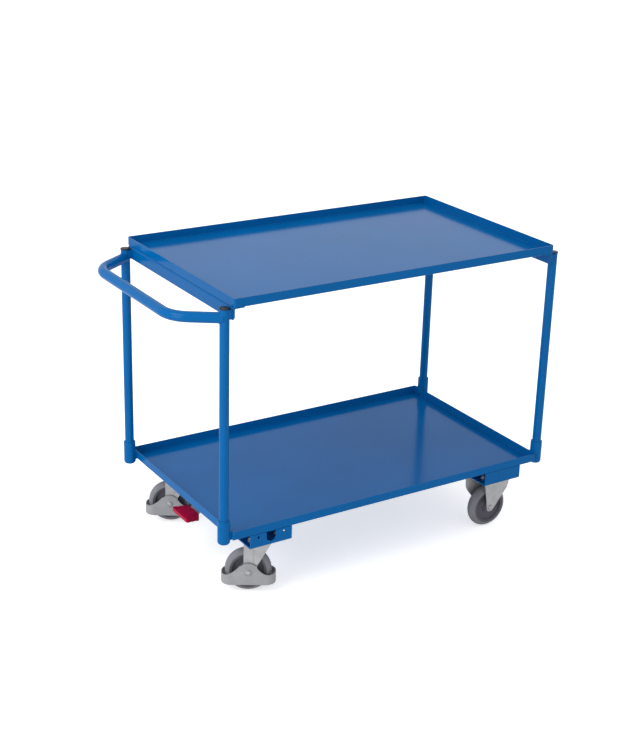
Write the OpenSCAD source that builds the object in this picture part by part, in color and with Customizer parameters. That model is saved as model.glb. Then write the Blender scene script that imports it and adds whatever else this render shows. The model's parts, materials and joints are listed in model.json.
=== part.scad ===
// Utility cart with two sheet steel trays on four tube uprights, a push handle,
// two swivel castors at the handle end and two fixed castors at the far end.
// One pedal in the middle of the handle end brakes both swivel castors.
// X runs from the handle end to the far end, Y from the front side to the rear
// side and Z up from the floor. The origin is on the floor, under the middle.

/* [Trays] */
// Length of each tray
tray_l = 1000; // [800:10:1200]
// Width of each tray
tray_w = 600; // [500:10:700]
// Height of the rims, measured from the underside of a tray
rim_h = 24; // [18:1:40]
// Thickness of the tray sheet
tray_t = 2; // [1.5:0.5:3]
// Radius of the upright corners of a tray
tray_corner_r = 5; // [4:0.5:12]
// Outer radius of the fold between floor and rim
tray_fold_r = 2.5; // [2:0.25:4]
// Height of the upper rim above the floor
top_z = 857; // [780:1:900]

/* [Uprights] */
// Outer diameter of the upright tubes
tube_d = 25; // [22:0.5:30]
// Wall of the upright tubes
tube_t = 1.5; // [1:0.25:2.5]
// Distance from a tray side to the middle of an upright
upright_inset = 20; // [18:1:60]
// Drop from the upper rim to the top of the tube caps
cap_drop = 25; // [20:1:27]
// Thickness of the cap flange
cap_h = 3; // [2:0.5:5]
// How far the cap flange stands out past the tube
cap_lip = 1.25; // [0.5:0.25:3]
// Length of the cap plug inside the tube
cap_plug = 12; // [6:1:20]

/* [Sockets] */
// Outer diameter of the sockets that hold the uprights
socket_d = 33; // [32:0.5:40]
// Height of a socket
socket_h = 66; // [50:1:90]
// How far a socket reaches below the lower tray
socket_drop = 12; // [8:1:20]
// Thickness of the socket floor
socket_floor = 8; // [7.5:0.5:12]
// Radius of the rounded socket bottom
socket_round = 7; // [3:0.5:7]
// Width of the weld block between a socket or upright and the tray end
weld_w = 24; // [16:1:28]

/* [End rails] */
// Height of the angle rail under each end of the upper tray
rail_h = 33; // [25:1:45]
// Width of the flat leg under the tray
rail_leg = 30; // [28:1:45]
// Thickness of the rail
rail_t = 3; // [2:0.5:4]
// Outer radius of an end rail's bend
rail_bend = 5.5; // [4.5:0.5:8]
// Distance from a tray side to the rail end
rail_end_gap = 3; // [1:0.5:8]
// Chamfer at the lower corners of the rail
rail_chamfer = 8; // [3:1:15]
// Diameter of the studs under the upper tray
stud_d = 8; // [6:1:8]
// Distance between the studs of one rail
stud_pitch = 220; // [150:10:230]
// Distance from the tray end to the studs
stud_inset = 17; // [15:0.5:18]

/* [Push handle] */
// Outer diameter of the handle tube
handle_d = 28; // [25:0.5:32]
// Wall of the handle tube
handle_t = 2; // [1.5:0.25:3]
// Distance from the upright middles to the crossbar middle
handle_reach = 109.5; // [90:0.5:140]
// Angle of the handle arms, measured inward from straight out
handle_angle = 33; // [20:1:40]
// Bend radius at the middle of the tube
handle_bend_r = 80; // [50:1:90]
// Drop from the upper rim to the middle of the handle tube
handle_drop = 51; // [44:1:60]
// How far from the upright middle the coped tube end starts
handle_cope = 4; // [2:0.5:8]
// Length of the solid weld end between an upright and the hollow handle tube
handle_weld = 5; // [4:0.5:10]
// Diameter of the two drain holes under the crossbar
vent_d = 5; // [3:0.5:8]
// How much smaller the tube's radius is in the bends
bend_thin = 0.05; // [0.03:0.01:0.2]
// How far the straight tubes reach into the bends
bend_lap = 0.5; // [0.3:0.1:1]

/* [Castor brackets] */
// Length of a castor bracket along the cart
bracket_l = 124; // [116:1:140]
// Width of a castor bracket across the cart
bracket_w = 140; // [120:1:160]
// Height of a castor bracket
bracket_h = 40; // [38:1:60]
// Sheet thickness of a castor bracket
bracket_t = 4; // [3:0.5:5]
// Outer fold radius of a castor bracket
bracket_fold_r = 6; // [5.5:0.5:10]
// Distance from the tray end to the middle of the brackets at the handle end
bracket_left_inset = 114; // [110:1:120]
// Distance from the tray end to the middle of the brackets at the far end
bracket_right_inset = 118; // [112:1:122]
// Width of the round-bottomed slot in a braked bracket
slot_w = 29; // [26:1:32]
// Height of the slot bottom above the bracket bottom
slot_low = 10; // [9:0.5:12]
// Diameter of the side holes in a braked bracket
side_hole_d = 8; // [5:0.5:12]
// Distance between the two side holes
side_hole_pitch = 76; // [60:1:90]
// Height of the side holes above the bracket bottom
side_hole_z = 30; // [14:0.5:32]

/* [Castors] */
// Distance from the tray end to the swivel axes
swivel_inset = 114; // [112:1:116]
// Distance from the tray end to the axles of the fixed castors
fixed_inset = 115; // [112:1:118]
// Overall height of a castor
castor_h = 165; // [160:1:175]
// Height from the top of a wheel to the top of its castor
wheel_room = 40; // [38:1:44]
// Wheel width
wheel_w = 32; // [28:1:34]
// Radial depth of the tyre
tyre_depth = 13; // [12:0.5:20]
// Distance from swivel axis to axle
trail = 25; // [20:1:32]
// Direction of the front swivel castor's axle, seen from above
front_trail_angle = 150; // [90:1:270]
// Direction of the rear swivel castor's axle, seen from above
rear_trail_angle = 148; // [90:1:270]
// Length of the top plate of a swivel castor
plate_l = 105; // [100:1:115]
// Width of the top plates
plate_w = 85; // [80:1:95]
// Thickness of the top plates
plate_t = 3.5; // [2.5:0.5:5]
// Length of the top plate of a fixed castor
fixed_plate_l = 124; // [120:1:130]
// Corner radius of the top plates
plate_corner_r = 8; // [4:1:12]
// Hole spacing along the top plates
hole_pitch_l = 80; // [78:1:84]
// Hole spacing across the top plates
hole_pitch_w = 60; // [59:1:64]
// Distance between the fork legs
fork_gap = 39; // [38:0.5:41]
// Thickness of the fork sheet
fork_t = 3; // [2:0.5:3.5]
// Diameter of the swivel fork crown
crown_d = 76; // [66:1:80]
// Thickness of the crown
crown_t = 4; // [3:0.5:5]
// Radius of the leg end round the axle
leg_r = 12.5; // [11:0.5:15]
// How far the front of a swivel leg leads the axle at the crown
leg_lead = 63; // [55:1:66]
// Height of the ball race
race_h = 9.7; // [8:0.1:11]
// Outer diameter of the ball race
race_d = 62; // [50:1:66]
// Diameter of the hollow king pin
king_d = 20; // [18:0.5:24]
// Bore of the king pin
king_bore = 10; // [9:0.5:12]
// Thickness of the king pin head and of its lower collar
king_head_t = 3; // [2:0.5:3.5]

/* [Wheels] */
// Diameter of the hub boss
boss_d = 34; // [30:1:40]
// Length of the hub boss
boss_l = 36; // [34:0.5:37.5]
// Thickness of the hub web
web_t = 8; // [5:0.5:12]
// Width of the hub rim
hub_rim_w = 27; // [22:0.5:28]
// Radial thickness of the hub rim
hub_rim_t = 6; // [4:0.5:9]
// Outer diameter of the roller bearing
bearing_d = 24; // [20:0.5:26]
// Outer diameter of the axle tube
axle_tube_d = 12; // [11:0.5:14]

/* [Fasteners] */
// Diameter of the bolts
bolt_d = 8; // [6:1:8]
// Width across the flats of bolt heads and nuts
hex_w = 13; // [10:1:13]
// Height of a bolt head
head_h = 5.3; // [4:0.1:5.5]
// Height of a nut
nut_h = 6.5; // [5:0.1:6.8]
// Thread that shows past a nut
thread_end = 2.5; // [1:0.5:4]

/* [Foot guards] */
// How far a foot guard reaches past the wheel at each end
guard_reach = 10.5; // [8:0.5:12.5]
// Width of a foot guard at its lower edge
guard_w = 61; // [58:1:68]
// Corner radius of a foot guard, seen from above
guard_end_r = 26; // [14:0.5:27]
// Thickness of the guard
guard_t = 2.5; // [1.5:0.5:3]
// Drop from the axle to the guard's lower edge
guard_drop = 35; // [32:0.5:40]
// Height of the upright lower band
guard_band = 28; // [22:1:29]
// Height of the shoulder above the band
guard_shoulder = 8; // [6:1:10]
// Height of the guard's upper tip above the axle
guard_tip = 26.5; // [20:0.5:28]
// How far the guard's middle leads the axle
guard_lead = 1; // [-3:0.5:4]
// Gap between a fork leg and the guard's wall, filled by a boss at the axle
guard_bulge = 1.5; // [1:0.25:3]

/* [Brake] */
// Diameter of the brake bar
bar_d = 12; // [10:0.5:14]
// Length of the brake bar
bar_l = 494; // [480:1:510]
// Radius of a cam
cam_r = 9; // [8.5:0.5:10]
// Distance between the bar and the middle of the cam nose
cam_offset = 8; // [6:0.5:9]
// Width of a cam
cam_w = 14; // [8:1:18]
// Outer diameter of the bar bushes
bush_d = 18; // [17:0.5:20]
// Length of a bar bush
bush_l = 12; // [8:1:16]
// Distance from the bar to the outer edge of the pedal
pedal_reach = 116; // [100:1:125]
// Depth of the pedal from its outer to its inner edge
pedal_depth = 45; // [35:1:55]
// Width of the outer edge of the pedal
pedal_outer_w = 86; // [70:1:100]
// Width of the inner edge of the pedal
pedal_inner_w = 68; // [50:1:80]
// Corner radius of the pedal
pedal_r = 5; // [3:0.5:8]
// Thickness of the pedal
pedal_t = 10; // [6:0.5:14]
// How much deeper the pedal's sides are at its inner end
pedal_skirt = 9; // [4:0.5:12]
// Drop from the middle of the bar to the top of the pedal
pedal_drop = 38.5; // [34:0.5:45]
// Width of the pedal arm
arm_w = 25; // [18:1:32]
// Thickness of the pedal arm
arm_t = 5; // [4:0.5:6]
// Length of the brake shoe along the tyre
shoe_l = 24; // [16:1:28]
// Width of the brake shoe
shoe_w = 22; // [14:1:26]
// Gap between the brake shoe and the tyre when the brake is off
shoe_gap = 3.2; // [3:0.1:4]

/* [Clearances] */
// Radial clearance between an upright and its socket
socket_fit = 0.15; // [0.05:0.05:0.3]
// Radial clearance of the running fits
run_fit = 0.05; // [0.03:0.01:0.08]
// Gap between pieces that move past each other
move_gap = 0.3; // [0.2:0.05:0.5]
// Gap at a coped or welded tube
weld_gap = 0.1; // [0.05:0.05:0.2]
// Radial clearance of a bolt in its hole
hole_fit = 0.3; // [0.2:0.05:0.6]

/* [Hidden] */
$fn = 64;
cut = 1;
upper_z = top_z - rim_h;
lower_z = castor_h + bracket_h;
upright_x = tray_l / 2 + socket_d / 2;
upright_y = tray_w / 2 - upright_inset;
socket_z = lower_z - socket_drop;
tube_z = socket_z + socket_floor;
tube_top = top_z - cap_drop - cap_h;
bore_r = bolt_d / 2 + hole_fit;

handle_z = top_z - handle_drop;
handle_x = upright_x + handle_reach;
bend_angle = 90 - handle_angle;
bend_run = handle_bend_r * tan(bend_angle / 2);
arm_l = handle_reach / cos(handle_angle) - bend_run;
handle_bore_start = tube_d / 2 + handle_weld;
crossbar_half = upright_y - handle_reach * tan(handle_angle) - bend_run;
shift_x = (handle_x + handle_d / 2 - upright_x - socket_d / 2) / 2;

bracket_left_x = tray_l / 2 - bracket_left_inset;
bracket_right_x = tray_l / 2 - bracket_right_inset;
swivel_x = tray_l / 2 - swivel_inset;
fixed_x = tray_l / 2 - fixed_inset;
castor_y = tray_w / 2 - bracket_w / 2;
wheel_d = castor_h - wheel_room;
axle_z = wheel_d / 2;
plate_z = castor_h - plate_t;
crown_z = plate_z - move_gap - race_h - crown_t;
guard_l = wheel_d + 2 * guard_reach;
guard_low = axle_z - guard_drop;
guard_top = axle_z + guard_tip;
fork_out = fork_gap / 2 + fork_t;
king_low = crown_z - move_gap - king_head_t;
king_head_lip = 2;
king_collar_lip = 5;
king_head_r = king_d / 2 + king_head_lip;
king_collar_r = king_d / 2 + king_collar_lip;
leg_top = crown_z + crown_t - axle_z;
leg_reach = leg_r + leg_lead * (guard_top - axle_z) / leg_top;
guard_out = fork_out + guard_t + guard_bulge;
crease_r = 1.5;
crease_low = axle_z + 28;
nut_z = castor_h + bracket_t;

hub_r = wheel_d / 2 - tyre_depth;
bar_z = castor_h + slot_low + slot_w / 2;
bush_y = castor_y - bracket_w / 2;
plunger_top = bar_z - cam_r - move_gap;
plunger_head_t = 3;
plunger_head_r = 11;
shoe_back = 5;
shoe_top = axle_z + wheel_d / 2 + shoe_gap + shoe_back;

steel_blue = [0.05, 0.36, 0.62];
zinc = [0.72, 0.72, 0.74];
dark_steel = [0.45, 0.45, 0.48];
grey_plastic = [0.62, 0.62, 0.64];
grey_rubber = [0.55, 0.55, 0.57];
hub_grey = [0.33, 0.33, 0.37];
cap_black = [0.1, 0.1, 0.1];
pedal_red = [0.75, 0.08, 0.22];

// Moves the cart so that the origin lies under the middle of its whole length
module placed() {
    translate([shift_x, 0, 0]) children();
}

// Points on an arc round a centre, from one angle to another
function arc(centre, r, from, to, n) =
    [for (i = [0 : n]) let (t = from + (to - from) * i / n) centre + r * [cos(t), sin(t)]];

// Rounded rectangle
module rounded_plate(l, w, r) {
    square([l - 2 * r, w], center = true);
    square([l, w - 2 * r], center = true);
    for (sx = [-1, 1], sy = [-1, 1])
        translate([sx * (l / 2 - r), sy * (w / 2 - r)]) circle(r);
}

// Upright section whose two lower corners are round, standing on the X axis
module folded_section(w, h, r) {
    translate([-w / 2, r]) square([w, h - r]);
    translate([r - w / 2, 0]) square([w - 2 * r, h]);
    for (s = [-1, 1])
        translate([s * (w / 2 - r), r]) circle(r);
}

// Extrudes a section in Y and Z along X
module along_x(l) {
    rotate([90, 0, 90]) linear_extrude(l, center = true) children();
}

// Extrudes a section in X and Z along Y
module along_y(l) {
    rotate([90, 0, 0]) linear_extrude(l, center = true) children();
}

// Pan with round corners and round lower edges
module pan(l, w, h, corner_r, fold_r) {
    intersection() {
        linear_extrude(h) rounded_plate(l, w, corner_r);
        along_x(l + cut) folded_section(w, h, fold_r);
        along_y(w + cut) folded_section(l, h, fold_r);
    }
}

module tray() {
    least_fold = 0.5;
    difference() {
        pan(tray_l, tray_w, rim_h, tray_corner_r, tray_fold_r);
        translate([0, 0, tray_t])
            pan(
                tray_l - 2 * tray_t, tray_w - 2 * tray_t, rim_h,
                tray_corner_r - tray_t / 2, max(tray_fold_r - tray_t, least_fold)
            );
    }
}

// Places of the studs of one rail, counted from the left end
module at_studs() {
    for (sx = [-1, 1], i = [-1, 0, 1])
        translate([sx * (tray_l / 2 - stud_inset), i * stud_pitch, upper_z]) children();
}

module top_tray() {
    color(steel_blue) placed() {
        translate([0, 0, upper_z]) tray();
        at_studs()
            translate([0, 0, -rail_t - nut_h - thread_end])
                cylinder(d = stud_d, h = rail_t + nut_h + thread_end + tray_t / 2);
    }
}

module bottom_tray() {
    color(steel_blue) placed() translate([0, 0, lower_z]) tray();
}

// Angle section whose outer fold is round, hanging from the origin
module angle_section() {
    mid = [rail_bend, -rail_bend];
    polygon(concat(
        arc(mid, rail_bend, 180, 90, 10),
        [[rail_leg, 0], [rail_leg, -rail_t]],
        arc(mid, rail_bend - rail_t, 90, 180, 10),
        [[rail_t, -rail_h], [0, -rail_h]]
    ));
}

module rail_outline() {
    half = tray_w / 2 - rail_end_gap;
    polygon([
        [-half, cut], [half, cut],
        [half, rail_chamfer - rail_h], [half - rail_chamfer, -rail_h],
        [rail_chamfer - half, -rail_h], [-half, rail_chamfer - rail_h]
    ]);
}

// Rail at the handle end for side -1, and at the far end for side 1
module end_rail(side) {
    weld_lift = 6;
    weld_h = rail_h - rail_t - weld_lift;
    color(steel_blue) placed() mirror([side > 0 ? 1 : 0, 0, 0]) {
        difference() {
            translate([-tray_l / 2, 0, upper_z]) intersection() {
                along_y(tray_w) angle_section();
                translate([rail_leg / 2, 0, 0]) along_x(rail_leg + cut) rail_outline();
            }
            at_studs()
                translate([0, 0, -rail_t - cut]) cylinder(r = stud_d / 2 + hole_fit, h = rail_t + 2 * cut);
        }
        for (sy = [-1, 1])
            difference() {
                translate([-upright_x, sy * upright_y - weld_w / 2, tube_top - weld_h - cap_h / 2])
                    cube([upright_x - tray_l / 2, weld_w, weld_h]);
                translate([-upright_x, sy * upright_y, 0]) cylinder(r = tube_d / 2 + weld_gap, h = top_z);
            }
    }
}

module upright(sx, sy) {
    color(steel_blue) placed()
        translate([sx * upright_x, sy * upright_y, tube_z])
            difference() {
                cylinder(d = tube_d, h = tube_top - tube_z);
                translate([0, 0, -cut]) cylinder(d = tube_d - 2 * tube_t, h = tube_top - tube_z + 2 * cut);
            }
}

module socket_section() {
    r = socket_d / 2;
    square([r - socket_round, socket_h]);
    translate([0, socket_round]) square([r, socket_h - socket_round]);
    translate([r - socket_round, socket_round]) circle(socket_round);
}

// Half of a section, on the positive side of its Y axis
module right_half(size) {
    intersection() {
        children();
        translate([0, -size]) square(2 * size);
    }
}

module socket(sx, sy) {
    color(steel_blue) placed()
        translate([sx * upright_x, sy * upright_y, socket_z])
            difference() {
                union() {
                    rotate_extrude() right_half(socket_h) socket_section();
                    translate([sx > 0 ? tray_l / 2 - upright_x : 0, -weld_w / 2, socket_drop])
                        cube([upright_x - tray_l / 2, weld_w, rim_h]);
                }
                translate([0, 0, socket_floor]) cylinder(r = tube_d / 2 + socket_fit, h = socket_h);
            }
}

module tube_caps() {
    plug_r = tube_d / 2 - tube_t - weld_gap;
    edge_r = cap_h / 3;
    lip_r = tube_d / 2 + cap_lip;
    color(cap_black) placed()
        for (sx = [-1, 1], sy = [-1, 1])
            translate([sx * upright_x, sy * upright_y, tube_top]) {
                cylinder(r = lip_r, h = cap_h - edge_r);
                cylinder(r = lip_r - edge_r, h = cap_h);
                translate([0, 0, cap_h - edge_r])
                    rotate_extrude() translate([lip_r - edge_r, 0]) circle(edge_r);
                translate([0, 0, -cap_plug]) cylinder(r = plug_r, h = cap_plug + cut);
            }
}

// The handle's centre line swept with one radius, from a distance to the upright middles.
// The bends are a hair thinner, as bent tube is, and the straights reach a little into them.
module handle_sweep(r, start) {
    for (s = [0, 1])
        mirror([0, s, 0]) {
            translate([-upright_x, upright_y, handle_z])
                rotate([0, 90, 180 + handle_angle])
                    translate([0, 0, start]) cylinder(r = r, h = arm_l - start + bend_lap);
            translate([handle_bend_r - handle_x, crossbar_half, handle_z])
                rotate([0, 0, 180 - bend_angle])
                    rotate_extrude(angle = bend_angle) translate([handle_bend_r, 0]) circle(r - bend_thin);
        }
    translate([-handle_x, 0, handle_z])
        rotate([90, 0, 0]) cylinder(r = r, h = 2 * (crossbar_half + bend_lap), center = true);
}

module push_handle() {
    color(steel_blue) placed()
        difference() {
            handle_sweep(handle_d / 2, handle_cope);
            handle_sweep(handle_d / 2 - handle_t, handle_bore_start);
            for (s = [-1, 1]) {
                translate([-upright_x, s * upright_y, tube_z])
                    cylinder(r = tube_d / 2 + weld_gap, h = tube_top - tube_z);
                translate([-handle_x, s * crossbar_half / 2, handle_z - handle_d])
                    cylinder(d = vent_d, h = handle_d);
            }
        }
}

module tray_nuts() {
    color(zinc) placed()
        at_studs()
            translate([0, 0, -rail_t - nut_h])
                difference() {
                    cylinder(d = hex_w / cos(30), h = nut_h, $fn = 6);
                    translate([0, 0, -cut]) cylinder(r = stud_d / 2 + weld_gap, h = nut_h + 2 * cut);
                }
}

// Places of the four bolts of one top plate
module at_plate_holes() {
    for (sx = [-1, 1], sy = [-1, 1])
        translate([sx * hole_pitch_l / 2, sy * hole_pitch_w / 2, 0]) children();
}

// Places of the four castors, with their outer sides turned towards -Y
module at_castors() {
    for (x = [-swivel_x, fixed_x], sy = [-1, 1])
        translate([x, sy * castor_y, 0]) children();
}

// Channel under one corner of the lower tray, open along the cart
module bracket(x, castor_x, sy, braked) {
    inner_r = bracket_fold_r - bracket_t;
    color(steel_blue) placed()
        mirror([0, sy > 0 ? 1 : 0, 0])
            difference() {
                translate([x, -castor_y, castor_h])
                    difference() {
                        along_x(bracket_l) folded_section(bracket_w, bracket_h, bracket_fold_r);
                        translate([0, 0, bracket_t])
                            along_x(bracket_l + cut)
                                folded_section(bracket_w - 2 * bracket_t, bracket_h, inner_r);
                    }
                translate([castor_x, -castor_y, castor_h - cut])
                    at_plate_holes() cylinder(r = bore_r, h = bracket_t + 2 * cut);
                if (braked) braked_cuts(x, castor_x);
            }
}

// Openings of a braked bracket: king pin hole, bar slot, bush hole and side holes
module braked_cuts(x, castor_x) {
    collar_room = 2;
    translate([castor_x, -castor_y, castor_h - cut])
        cylinder(r = king_collar_r + collar_room, h = bracket_t + 2 * cut);
    translate([castor_x, -tray_w / 2 - cut, bar_z])
        rotate([-90, 0, 0]) cylinder(d = slot_w, h = bracket_t + 2 * cut);
    translate([castor_x - slot_w / 2, -tray_w / 2 - cut, bar_z])
        cube([slot_w, bracket_t + 2 * cut, lower_z - bar_z + cut]);
    translate([castor_x, -bush_y - bracket_t, bar_z])
        rotate([90, 0, 0]) cylinder(d = bush_d, h = 4 * bracket_t, center = true);
    for (s = [-1, 1])
        translate([x + s * side_hole_pitch / 2, -castor_y, castor_h + side_hole_z])
            rotate([90, 0, 0]) cylinder(d = side_hole_d, h = bracket_w + 2 * cut, center = true);
}

module swivel_plate(sy) {
    color(zinc) placed()
        translate([-swivel_x, sy * castor_y, plate_z])
            difference() {
                linear_extrude(plate_t) rounded_plate(plate_l, plate_w, plate_corner_r);
                translate([0, 0, -cut]) {
                    at_plate_holes() cylinder(r = bore_r, h = plate_t + 2 * cut);
                    cylinder(d = king_d, h = plate_t + 2 * cut);
                }
            }
}

module king_pins() {
    color(zinc) placed()
        for (sy = [-1, 1])
            translate([-swivel_x, sy * castor_y, 0])
                difference() {
                    union() {
                        translate([0, 0, king_low])
                            cylinder(d = king_d, h = castor_h + king_head_t - king_low);
                        translate([0, 0, king_low]) cylinder(r = king_collar_r, h = king_head_t);
                        translate([0, 0, castor_h]) cylinder(r = king_head_r, h = king_head_t);
                    }
                    translate([0, 0, king_low - cut]) cylinder(d = king_bore, h = castor_h);
                }
}

// Outline of the near leg of a fixed fork, drawn round the axle
module fixed_leg_outline() {
    top = plate_z + plate_t / 2 - axle_z;
    side_u = fixed_plate_l / 2;
    flare_r = 45;
    flare_h = 24;
    heel = 4;
    flare_z = plate_z - axle_z - flare_h;
    flare_u = side_u - flare_r;
    span = norm([flare_u, flare_z]);
    edge = atan2(flare_z, flare_u) - 90 - asin((flare_r - leg_r) / span);
    polygon(concat(
        arc([0, 0], leg_r, -180, edge, 18),
        arc([flare_u, flare_z], flare_r, edge, 0, 10),
        [
            [side_u, top], [-0.45 * side_u, top],
            [-0.4 * side_u, 0.75 * top], [-leg_r - heel, 0.3 * top]
        ]
    ));
}

// Fixed fork: a top plate and two legs, the far leg turned half round
module fixed_fork(sy) {
    crease_h = 60;
    crease_rise = 0.3;
    color(zinc) placed()
        translate([fixed_x, sy * castor_y, 0])
            difference() {
                union() {
                    translate([0, 0, plate_z])
                        linear_extrude(plate_t) rounded_plate(fixed_plate_l, plate_w, plate_corner_r);
                    for (turn = [0, 180])
                        rotate([0, 0, turn])
                            translate([0, fork_t / 2 - fork_out, axle_z])
                                along_y(fork_t) fixed_leg_outline();
                }
                translate([0, 0, plate_z - cut]) at_plate_holes() cylinder(r = bore_r, h = plate_t + 2 * cut);
                on_axle(-2 * fork_out) cylinder(r = bore_r, h = 4 * fork_out);
                for (turn = [0, 180], u = [-12, 15, 41])
                    rotate([0, 0, turn])
                        translate([u, -fork_out - crease_r / 2, crease_low + crease_rise * abs(u)])
                            cylinder(r = crease_r, h = crease_h);
            }
}

// Bolt with its head at the origin and its shank up
module bolt(grip) {
    translate([0, 0, -head_h]) cylinder(d = hex_w / cos(30), h = head_h, $fn = 6);
    cylinder(d = bolt_d, h = grip + nut_h + thread_end);
}

module hex_nut() {
    difference() {
        cylinder(d = hex_w / cos(30), h = nut_h, $fn = 6);
        translate([0, 0, -cut]) cylinder(r = bolt_d / 2 + weld_gap, h = nut_h + 2 * cut);
    }
}

module castor_bolts() {
    color(zinc) placed() at_castors() at_plate_holes() translate([0, 0, plate_z]) bolt(plate_t + bracket_t);
}

module castor_nuts() {
    color(zinc) placed() at_castors() at_plate_holes() translate([0, 0, nut_z]) hex_nut();
}

// Turns a piece that stands up so that it lies along the axle, its foot to the front
module on_axle(y) {
    translate([0, y, axle_z]) rotate([-90, 0, 0]) children();
}

module at_fixed() {
    for (sy = [-1, 1])
        translate([fixed_x, sy * castor_y, 0]) children();
}

// Swivel castor frame: u runs forward from the axle along +X
module at_swivel(sy) {
    turn = sy > 0 ? rear_trail_angle : front_trail_angle;
    translate([-swivel_x, sy * castor_y, 0]) rotate([0, 0, turn + 180]) translate([-trail, 0, 0]) children();
}

module axle_tube() {
    difference() {
        on_axle(-fork_gap / 2) cylinder(d = axle_tube_d, h = fork_gap);
        on_axle(-fork_gap) cylinder(r = bolt_d / 2 + weld_gap, h = 2 * fork_gap);
    }
}

module fixed_axle_bolts() {
    color(zinc) placed() at_fixed() on_axle(-fork_out) bolt(2 * fork_out);
}

module fixed_axle_nuts() {
    color(zinc) placed() at_fixed() on_axle(fork_out) hex_nut();
}

module fixed_axle_tubes() {
    color(dark_steel) placed() at_fixed() axle_tube();
}

module axle_bolt(sy) {
    color(zinc) placed() at_swivel(sy) on_axle(-guard_out) bolt(2 * guard_out);
}

module axle_nut(sy) {
    color(zinc) placed() at_swivel(sy) on_axle(guard_out) hex_nut();
}

module swivel_axle_tube(sy) {
    color(dark_steel) placed() at_swivel(sy) axle_tube();
}

// Outline of a swivel leg, drawn round the axle: plumb behind, raked in front
module swivel_leg_outline() {
    reach = norm([leg_lead, leg_top]);
    edge = atan2(leg_top, leg_lead) - acos(leg_r / reach);
    circle(leg_r);
    polygon([
        [0, 0], [leg_r * cos(edge), leg_r * sin(edge)],
        [leg_lead, leg_top], [-leg_r, leg_top], [-leg_r, 0]
    ]);
}

module swivel_fork(sy) {
    crease_u = 15.5;
    color(zinc) placed() at_swivel(sy)
        difference() {
            union() {
                translate([trail, 0, crown_z]) cylinder(d = crown_d, h = crown_t);
                translate([-leg_r, -fork_out, crown_z]) cube([leg_lead + leg_r, 2 * fork_out, crown_t]);
                for (s = [-1, 1])
                    translate([0, s * (fork_out - fork_t / 2), axle_z]) along_y(fork_t) swivel_leg_outline();
            }
            translate([trail, 0, crown_z - cut]) cylinder(r = king_d / 2 + run_fit, h = crown_t + 2 * cut);
            on_axle(-2 * fork_out) cylinder(r = bore_r, h = 4 * fork_out);
            for (s = [-1, 1])
                translate([crease_u, s * (fork_out + crease_r / 2), crease_low])
                    cylinder(r = crease_r, h = crown_z - crease_low);
        }
}

// Two stacked cups with the ball gap showing as a waist
module ball_race(sy) {
    waist = 2.5;
    gap_top = 0.65 * race_h;
    color(dark_steel) placed() at_swivel(sy)
        translate([trail, 0, crown_z + crown_t])
            difference() {
                union() {
                    cylinder(d = race_d, h = race_h / 2);
                    cylinder(d = race_d - 2 * waist, h = race_h);
                    translate([0, 0, gap_top]) cylinder(d = race_d - waist, h = race_h - gap_top);
                }
                translate([0, 0, -cut]) cylinder(r = king_d / 2 + run_fit, h = race_h + 2 * cut);
            }
}

// Points of a rounded rectangle, counted from its middle
function rounded_points(a, b, r, n) = concat(
    arc([a - r, b - r], r, 0, 90, n), arc([r - a, b - r], r, 90, 180, n),
    arc([r - a, r - b], r, 180, 270, n), arc([a - r, r - b], r, 270, 360, n)
);

// Solid inside of the guard, set in by an inset: band, shoulder and upper part
module guard_body(inset) {
    a = guard_l / 2 - inset;
    b = guard_w / 2 - inset;
    narrow = (guard_out - inset) / b;
    shoulder_z = guard_low + guard_band;
    points = rounded_points(a, b, guard_end_r - inset, 7);
    translate([0, 0, guard_low - inset]) linear_extrude(guard_band + inset) polygon(points);
    translate([0, 0, shoulder_z])
        linear_extrude(guard_shoulder, scale = [1, narrow], slices = 1, $fn = 0) polygon(points);
    translate([0, 0, shoulder_z + guard_shoulder])
        linear_extrude(guard_top - shoulder_z - guard_shoulder + inset) scale([1, narrow]) polygon(points);
}

// Side view of the guard: it arches over the axle between two hollows
module guard_side() {
    back_r = 65;
    back_at = [-guard_l / 2 - 3, guard_low + 90.5];
    front_r = 36;
    front_at = [guard_l / 2 - 17, guard_low + 64];
    end_z = guard_low + 28;
    back_end = [3 - guard_l / 2, end_z];
    front_end = [guard_l / 2 - 17, end_z];
    difference() {
        polygon(concat(
            [[-guard_l, guard_low], [guard_l, guard_low], [guard_l, axle_z + guard_tip * sin(45)]],
            arc([0, axle_z], guard_tip, 45, 135, 9),
            [[-guard_l, guard_top - leg_r]]
        ));
        translate(back_at) circle(back_r);
        difference() {
            translate(front_at) circle(front_r);
            translate([0, axle_z]) swivel_leg_outline();
        }
        translate(back_end - [guard_l, 0]) square([guard_l, guard_top]);
        translate(front_end) square([guard_l, guard_top]);
    }
}

module foot_guard(sy) {
    pocket_gap = 1;
    pocket_r = hex_w / 2 / cos(30) + pocket_gap;
    color(grey_plastic) placed() at_swivel(sy)
        difference() {
            union() {
                intersection() {
                    translate([guard_lead, 0, 0])
                        difference() {
                            guard_body(0);
                            guard_body(guard_t);
                        }
                    along_y(2 * guard_w) guard_side();
                }
                on_axle(-guard_out) cylinder(r = leg_r, h = 2 * guard_out);
            }
            translate([-leg_r - cut, -fork_out, 0])
                cube([leg_r + cut + leg_reach, 2 * fork_out, guard_top + cut]);
            on_axle(-guard_w) cylinder(r = bore_r, h = 2 * guard_w);
            for (turn = [0, 1])
                mirror([0, turn, 0]) on_axle(guard_out) cylinder(r = pocket_r, h = guard_w);
        }
}

module wheel_at(sx, sy) {
    if (sx > 0) translate([fixed_x, sy * castor_y, 0]) on_axle(0) children();
    else at_swivel(sy) on_axle(0) children();
}

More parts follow.
